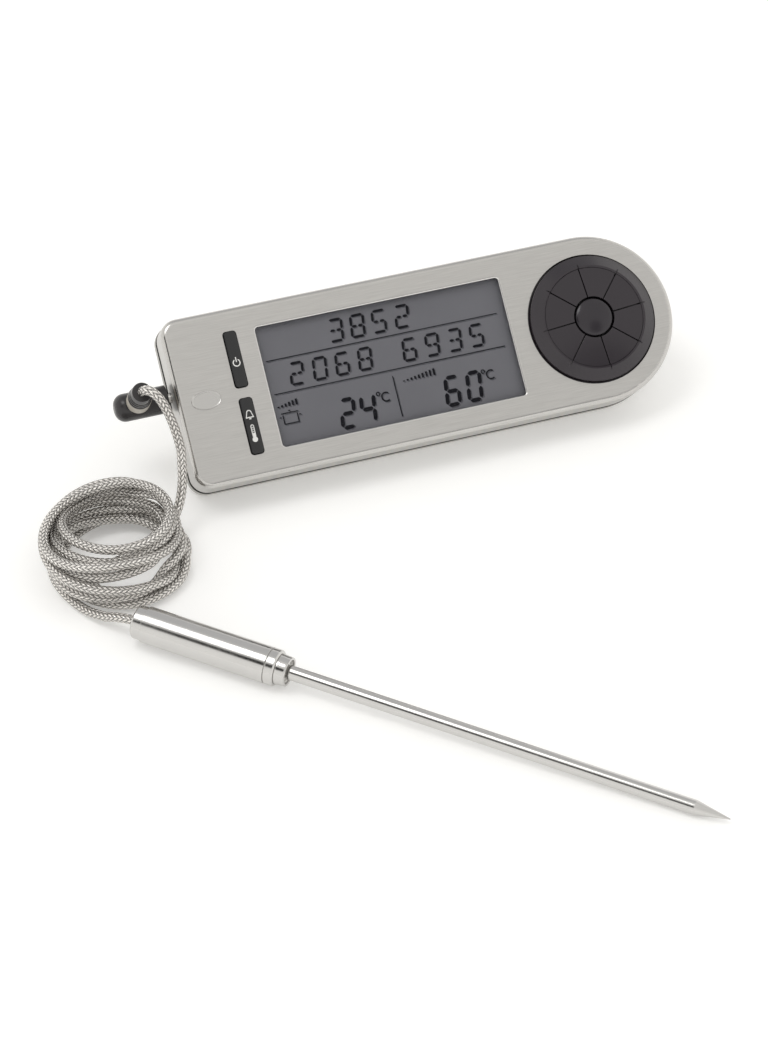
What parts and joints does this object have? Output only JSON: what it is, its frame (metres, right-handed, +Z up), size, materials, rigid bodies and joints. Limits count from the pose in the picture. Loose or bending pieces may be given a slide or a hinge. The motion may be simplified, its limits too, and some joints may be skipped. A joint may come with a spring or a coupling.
{
  "type": "meat thermometer",
  "caption": "Slim display unit leaning on a fold-out stand, with a turning dial and two keys, and a wired steel probe on a braided cable that lies coiled beside it.",
  "frame": {"origin": "on the table under the middle of the standing unit, stand and casing together, cable and probe left out", "axes": "+X along the casing from the plug end to the dial end, +Y from the user towards the back, +Z up"},
  "size_m": [0.1924, 0.2062, 0.0417],
  "materials": {
    "brushed_steel": "brushed along its length",
    "rear_plastic": "satin silver-grey",
    "black_frame": "matte",
    "seal_rubber": "matte",
    "window_glass": "clear",
    "lcd_glass": "satin grey-blue",
    "white_film": "matte",
    "board_green": "satin",
    "black_chip": "matte",
    "plated_steel": "polished",
    "brass_contact": "satin",
    "key_black": "satin",
    "dial_black": "satin anthracite",
    "bearing_plastic": "satin",
    "cell_jacket": "gloss",
    "foot_rubber": "matte",
    "magnet_dark": "satin",
    "plug_black": "satin",
    "collar_grey": "satin",
    "steel_braid": "woven wire braid",
    "probe_steel": "polished",
    "sensor_bead": "matte",
    "wire_sleeve": "matte"
  },
  "bodies": {
    "casing": {"front_shell": "brushed_steel", "inner_frame": "black_frame", "case_gasket": "seal_rubber", "rear_shell": "rear_plastic", "display_lens": "window_glass", "lcd_panel": "lcd_glass", "lcd_reflector": "white_film", "contact_strips": "seal_rubber", "main_board": "board_green", "board_chips": "black_chip", "buzzer": "black_chip", "switches": "plated_steel", "dial_bearing": "bearing_plastic", "detent_spring": "plated_steel", "jack_socket": "black_frame", "batteries": "cell_jacket", "battery_springs": "plated_steel", "battery_plates": "plated_steel", "stand_pin": "plated_steel", "magnet": "magnet_dark", "case_screws": "plated_steel", "board_screws": "plated_steel"},
    "dial": {"dial": "dial_black", "dial_sectors": "dial_black", "dial_hub": "black_frame", "dial_wiper": "brass_contact"},
    "centre_button": {"centre_button": "dial_black", "button_plunger": "black_frame"},
    "power_button": {"power_button": "key_black"},
    "alarm_button": {"alarm_button": "key_black"},
    "battery_cover": {"battery_cover": "rear_plastic"},
    "stand": {"stand": "rear_plastic", "stand_pad": "foot_rubber"},
    "lead": {"plug_body": "plug_black", "plug_pin": "plated_steel", "plug_insulator": "black_chip", "plug_collar": "collar_grey", "plug_boot": "plug_black", "cable_lead": "steel_braid", "cable_coil": "steel_braid", "cable_tail": "steel_braid", "probe_end_cap": "probe_steel", "probe_handle": "probe_steel", "probe_ring": "probe_steel", "probe_collar": "probe_steel", "probe_needle": "probe_steel", "thermistor": "sensor_bead", "sensor_wires": "wire_sleeve"}
  },
  "joints": [
    {"name": "dial_turn", "type": "hinge", "parent": "casing", "child": "dial", "pos_m": [0.0484, -0.01077, 0.02694], "axis": [0, -0.6428, 0.766], "continuous": true},
    {"name": "centre_button_press", "type": "slide", "parent": "casing", "child": "centre_button", "axis": [0, 0.6428, -0.766], "range_m": [0, 0.0006], "stiffness_N_per_m": 900, "springref_m": -0.0015},
    {"name": "power_button_press", "type": "slide", "parent": "casing", "child": "power_button", "axis": [0, 0.6428, -0.766], "range_m": [0, 0.0006], "stiffness_N_per_m": 900, "springref_m": -0.0015},
    {"name": "alarm_button_press", "type": "slide", "parent": "casing", "child": "alarm_button", "axis": [0, 0.6428, -0.766], "range_m": [0, 0.0006], "stiffness_N_per_m": 900, "springref_m": -0.0015},
    {"name": "battery_cover_slide", "type": "slide", "parent": "casing", "child": "battery_cover", "axis": [-1, 0, 0], "range_m": [0, 0.052]},
    {"name": "stand_fold", "type": "hinge", "parent": "casing", "child": "stand", "pos_m": [0.0164, 0.01058, 0.0211], "axis": [-1, 0, 0], "range_deg": [0, 90]},
    {"name": "plug_pull", "type": "slide", "parent": "casing", "child": "lead", "axis": [-1, 0, 0], "range_m": [0, 0.02]}
  ]
}
